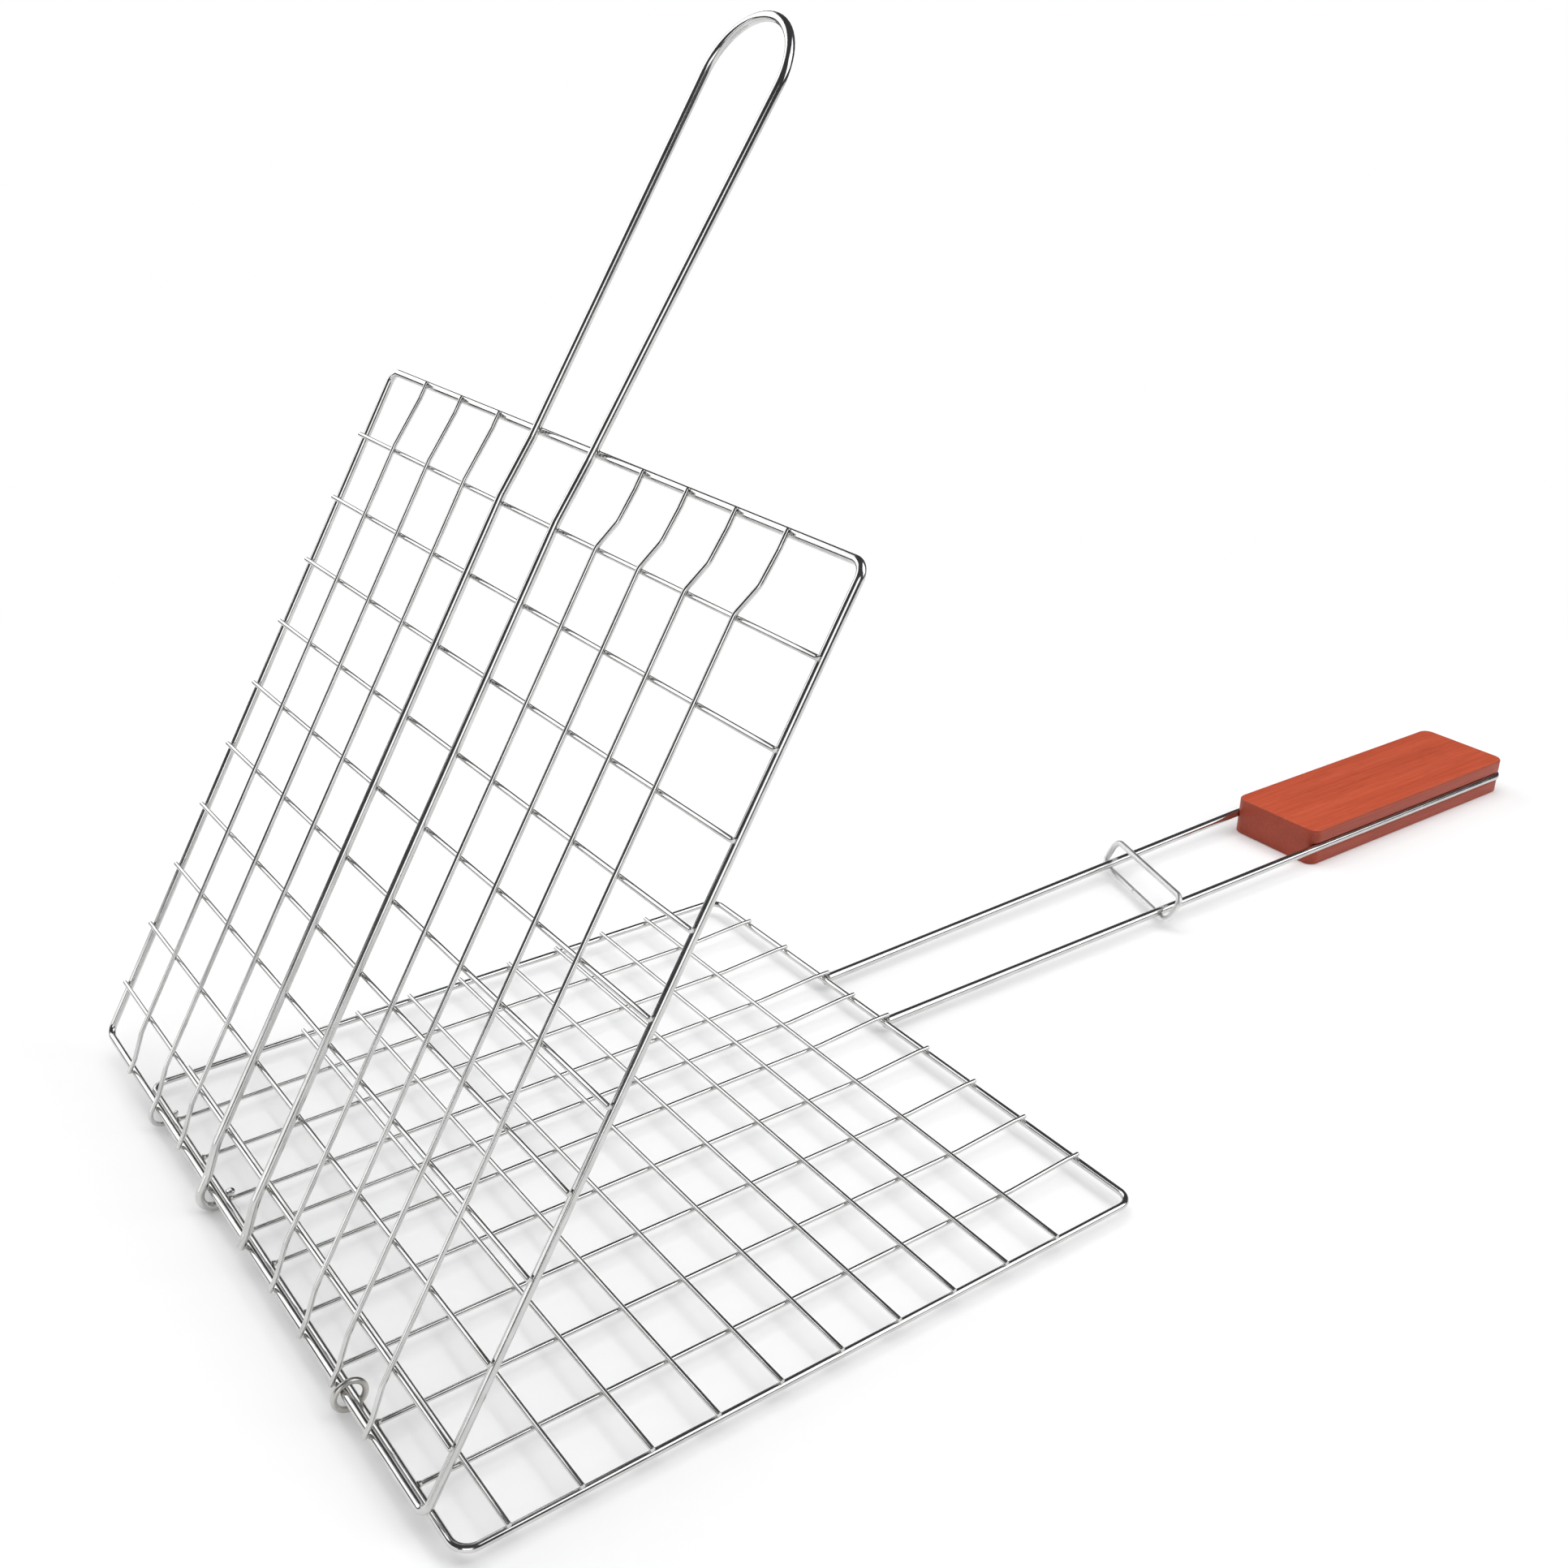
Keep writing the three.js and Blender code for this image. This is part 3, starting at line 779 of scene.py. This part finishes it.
def hinge_ring():
    low, high = extent("hinge_ring", LID)
    radius = (high.y - low.y) / 2
    centre = (low + high) / 2
    reach = (high.x - low.x) / 2 - radius
    stations = []
    for i in range(HINGE_RING_STEPS):
        angle = 2 * math.pi * i / HINGE_RING_STEPS
        out = Vector((math.cos(angle), 0, math.sin(angle)))
        stations.append((centre + out * reach, Vector((-out.z, 0, out.x))))
    mesh = wire_mesh("hinge_ring", stations, radius, LID, closed=True)
    piece("hinge_ring_round", mesh, hinge_steel, "hinge_ring", "ring_steel", "hinge_ring")


# ---------- stage, lights and camera ----------

# metres
FLOOR_RADIUS = 1.5
BACKDROP_RADIUS = 6
FAR_FLOOR_DROP = 0.002
GLOW_FROM, GLOW_TO = 0.44, 0.9  # distance over which the floor fades into the white background
SOFTBOX_DISTANCE = 2.2
OVERHEAD_DISTANCE = 3.2

STAGE_SIDES = 96
FLOOR_WHITE = (0.93, 0.93, 0.93)
ROOM_DARK = (0.06, 0.06, 0.065)


def white_paper(name):
    """Plain white that needs no light."""
    nodes = Nodes(name)
    nodes.shader.inputs["Base Color"].default_value = (0, 0, 0, 1)
    nodes.shader.inputs["Specular IOR Level"].default_value = 0
    nodes.shader.inputs["Emission Color"].default_value = (1, 1, 1, 1)
    nodes.shader.inputs["Emission Strength"].default_value = 1
    return nodes.material


def floor_paper():
    """Matt pale paper that fades into plain white away from the object."""
    nodes = Nodes("floor_paper")
    shader = nodes.shader
    shader.inputs["Roughness"].default_value = 1
    shader.inputs["Specular IOR Level"].default_value = 0
    place = nodes.add("ShaderNodeVectorMath", operation="LENGTH")
    nodes.join(nodes.coordinates((1, 1, 1)), place.inputs[0])
    glow = nodes.add("ShaderNodeMapRange", interpolation_type="SMOOTHSTEP")
    glow.inputs["From Min"].default_value = GLOW_FROM
    glow.inputs["From Max"].default_value = GLOW_TO
    nodes.join(place.outputs["Value"], glow.inputs["Value"])
    nodes.join(nodes.mix(glow.outputs["Result"], FLOOR_WHITE, (0, 0, 0)), shader.inputs["Base Color"])
    shader.inputs["Emission Color"].default_value = (1, 1, 1, 1)
    nodes.join(glow.outputs["Result"], shader.inputs["Emission Strength"])
    return nodes.material


def only_for_camera(thing):
    """Keep a thing out of everything but the camera's direct view."""
    thing.visible_diffuse = False
    thing.visible_glossy = False
    thing.visible_transmission = False
    thing.visible_shadow = False


def add_stage():
    """A pale floor, and beyond it a plain white background that only the camera sees."""
    bpy.ops.mesh.primitive_circle_add(vertices=STAGE_SIDES, radius=FLOOR_RADIUS, fill_type="NGON")
    floor = bpy.context.object
    floor.name = "floor"
    floor.data.materials.append(floor_paper())
    paper = white_paper("background_paper")
    bpy.ops.mesh.primitive_circle_add(
        vertices=STAGE_SIDES, radius=BACKDROP_RADIUS, fill_type="NGON", location=(0, 0, -FAR_FLOOR_DROP)
    )
    far_floor = bpy.context.object
    far_floor.name = "far_floor"
    far_floor.data.materials.append(paper)
    bpy.ops.mesh.primitive_cylinder_add(
        vertices=STAGE_SIDES, radius=BACKDROP_RADIUS, depth=2 * BACKDROP_RADIUS, end_fill_type="NOTHING"
    )
    wall = bpy.context.object
    wall.name = "backdrop"
    wall.data.materials.append(paper)
    only_for_camera(far_floor)
    only_for_camera(wall)


def softbox(name, azimuth, elevation, size, brightness, distance=SOFTBOX_DISTANCE):
    """A rectangular lamp aimed at the basket, at an azimuth anticlockwise from +X. brightness is its
    radiance."""
    light = bpy.data.lights.new(name, "AREA")
    light.shape = "RECTANGLE"
    light.size, light.size_y = size
    light.energy = brightness * math.pi * size[0] * size[1]
    lamp = bpy.data.objects.new(name, light)
    turn, rise = math.radians(azimuth), math.radians(elevation)
    towards = Vector((math.cos(turn) * math.cos(rise), math.sin(turn) * math.cos(rise), math.sin(rise)))
    lamp.location = towards * distance
    lamp.rotation_euler = towards.to_track_quat("Z", "Y").to_euler()
    lamp.visible_camera = False
    bpy.context.scene.collection.objects.link(lamp)
    return lamp


def add_lights():
    """Softboxes in a dark room, which draw bright lines and dark edges on the wires, and a wide soft lamp
    overhead that lights the floor without showing in the steel. Each softbox stands where one set of wires
    mirrors it: the right one in the base's long wires and the rods, the rear one in all the cross wires, the
    front one in the lid's long wires and the left strip in those wires' lower ends."""
    softbox("right_softbox", azimuth=310, elevation=42, size=(1.7, 2.1), brightness=2.2)
    softbox("rear_softbox", azimuth=110, elevation=32, size=(2.2, 1.6), brightness=1.8)
    softbox("front_softbox", azimuth=228, elevation=18, size=(1.2, 1.2), brightness=1.7)
    softbox("left_strip", azimuth=172, elevation=6, size=(2.2, 0.4), brightness=1.5)
    overhead = softbox(
        "overhead", azimuth=90, elevation=88, size=(3.6, 3.6), brightness=2.05, distance=OVERHEAD_DISTANCE
    )
    overhead.visible_glossy = False
    world = bpy.data.worlds.new("studio")
    bpy.context.scene.world = world
    world.use_nodes = True
    world.node_tree.nodes["Background"].inputs["Color"].default_value = (*ROOM_DARK, 1)


CAMERA_PLACE = Vector((-144.9, -357.4, 439.3))  # in the base's layout
CAMERA_YAW, CAMERA_PITCH, CAMERA_ROLL = 36.508, 24.861, 1.113  # degrees from +Y, down and tilted
CAMERA_LENS, CAMERA_SENSOR = 38.7, 36  # millimetres


def add_camera():
    """A three-quarter view from in front of the hinge, a little above."""
    yaw, pitch, roll = map(math.radians, (CAMERA_YAW, CAMERA_PITCH, CAMERA_ROLL))
    forward = Vector((math.sin(yaw) * math.cos(pitch), math.cos(yaw) * math.cos(pitch), -math.sin(pitch)))
    level = Vector((math.cos(yaw), -math.sin(yaw), 0))
    upright = level.cross(forward)
    right = level * math.cos(roll) + upright * math.sin(roll)
    up = upright * math.cos(roll) - level * math.sin(roll)
    camera = bpy.data.objects.new("camera", bpy.data.cameras.new("camera"))
    turn = Matrix((right, up, -forward)).transposed().to_4x4()
    camera.matrix_world = Matrix.Translation(BASE @ CAMERA_PLACE) @ turn
    camera.data.lens = CAMERA_LENS
    camera.data.sensor_width = CAMERA_SENSOR
    bpy.context.scene.collection.objects.link(camera)
    bpy.context.scene.camera = camera


add_camera()
base_grid()
base_handle()
base_welds()
wooden_grip()
slide_ring()
lid_grid()
lid_long_wires()
lid_handle()
lid_welds()
hinge_ring()
add_stage()
add_lights()
bpy.context.scene.view_settings.view_transform = "Standard"
